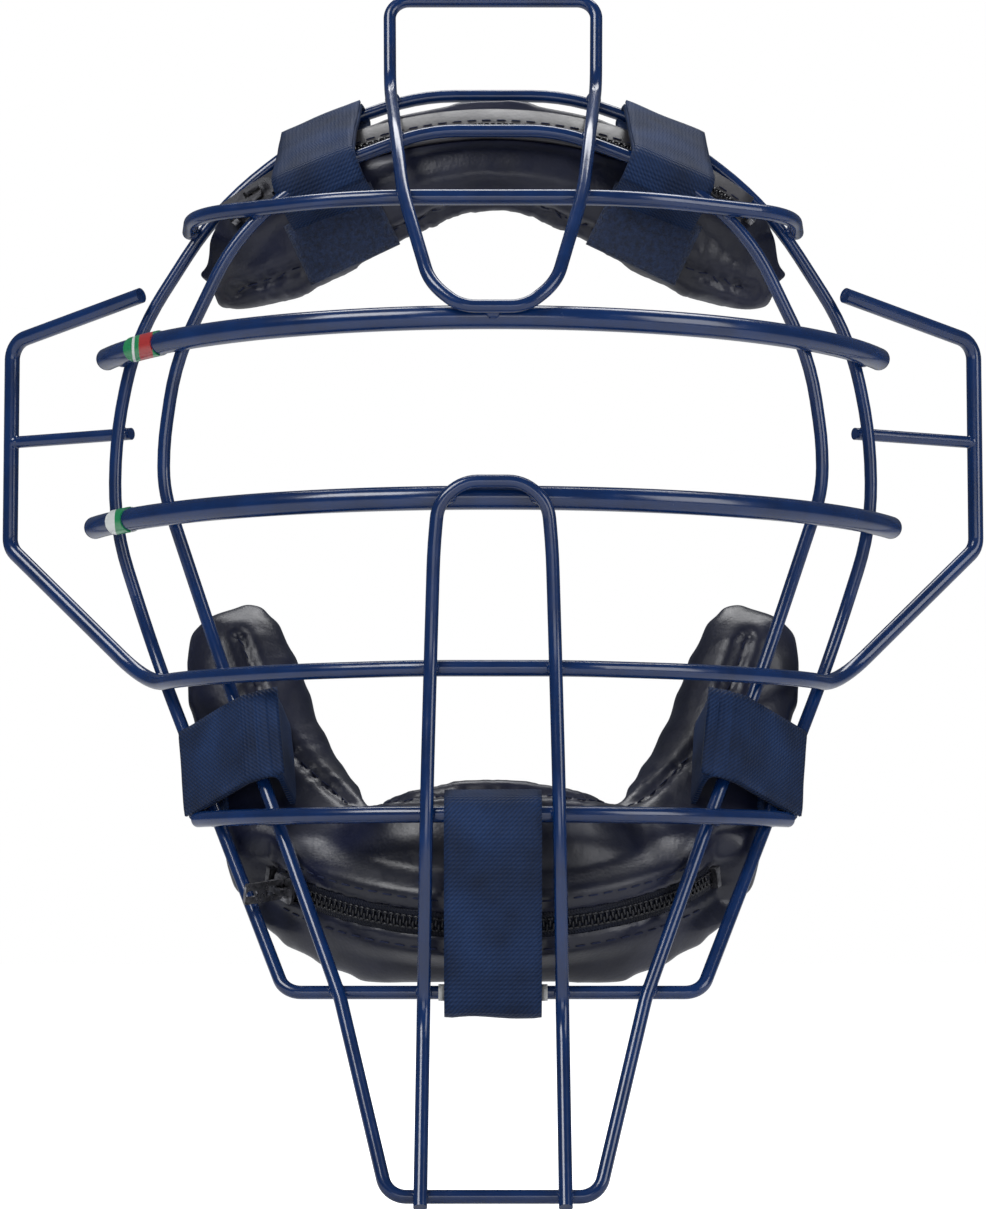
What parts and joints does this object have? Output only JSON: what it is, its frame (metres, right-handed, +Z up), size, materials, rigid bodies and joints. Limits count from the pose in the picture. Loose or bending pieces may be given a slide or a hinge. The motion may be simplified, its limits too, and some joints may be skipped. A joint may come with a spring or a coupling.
{
  "type": "catcher's mask",
  "caption": "Welded wire face cage with a forehead pad and a chin and cheek pad, strapped in with hook-and-loop webbing, for a catcher or umpire.",
  "frame": {"origin": "middle of the face opening, on the plane of the rear loop's upper part, where the wearer's face sits", "axes": "+X to the wearer's left, +Z up, the mask faces -Y"},
  "size_m": [0.2782, 0.1234, 0.3339],
  "materials": {
    "cage": "gloss",
    "brow_band": "gloss",
    "eye_band": "gloss",
    "sleeve": "ribbed",
    "pad_skin": "gloss",
    "foam": "matte",
    "loop_pile": "napped",
    "webbing": "woven",
    "tape": "woven",
    "teeth": "satin",
    "zip_metal": "satin"
  },
  "bodies": {
    "cage": {"bar_end_plugs": "cage", "brow_bar": "cage", "brow_label_band": "brow_band", "centre_ring": "cage", "cheek_strap_left": "webbing", "cheek_strap_right": "webbing", "cheek_strap_tail_left": "webbing", "cheek_strap_tail_right": "webbing", "cheek_wing_bar": "cage", "chin_bar_sleeve": "sleeve", "chin_pad_cover": "pad_skin", "chin_pad_foam": "foam", "chin_strap": "webbing", "chin_zipper_chain": "teeth", "chin_zipper_stops": "zip_metal", "chin_zipper_tape": "tape", "crown_loop": "cage", "eye_bar": "cage", "eye_label_band": "eye_band", "forehead_bar": "cage", "forehead_pad_cover": "pad_skin", "forehead_pad_foam": "foam", "forehead_patch_left": "loop_pile", "forehead_patch_right": "loop_pile", "forehead_strap_left": "webbing", "forehead_strap_right": "webbing", "forehead_strap_tail_left": "webbing", "forehead_strap_tail_right": "webbing", "forehead_zipper_chain": "teeth", "forehead_zipper_stops": "zip_metal", "forehead_zipper_tape": "tape", "front_loop": "cage", "mouth_bar": "cage", "rear_loop": "cage", "throat_loop": "cage", "weld_beads": "cage", "wing_rod_left": "cage", "wing_rod_right": "cage"},
    "forehead_slider": {"forehead_zipper_slider": "zip_metal"},
    "forehead_pull": {"forehead_zipper_pull": "zip_metal"},
    "chin_slider": {"chin_zipper_slider": "zip_metal"},
    "chin_pull": {"chin_zipper_pull": "zip_metal"}
  },
  "joints": [
    {"name": "forehead_slider_run", "type": "hinge", "parent": "cage", "child": "forehead_slider", "pos_m": [0, 0.01537, 0.02102], "axis": [0, 0.9507, 0.3102], "range_deg": [-1.6, 0.5]},
    {"name": "forehead_pull_swing", "type": "hinge", "parent": "forehead_slider", "child": "forehead_pull", "pos_m": [-0.06497, -0.01775, 0.11347], "axis": [-0.3331, 0.6019, 0.7258], "range_deg": [0, 110]},
    {"name": "chin_slider_run", "type": "hinge", "parent": "cage", "child": "chin_slider", "pos_m": [0, -0.0111, -0.06344], "axis": [0, -0.3903, 0.9207], "range_deg": [0, 2.4]},
    {"name": "chin_pull_swing", "type": "hinge", "parent": "chin_slider", "child": "chin_pull", "pos_m": [-0.05599, -0.05019, -0.07932], "axis": [0.1086, -0.3113, 0.9441], "range_deg": [-6, 30]}
  ]
}
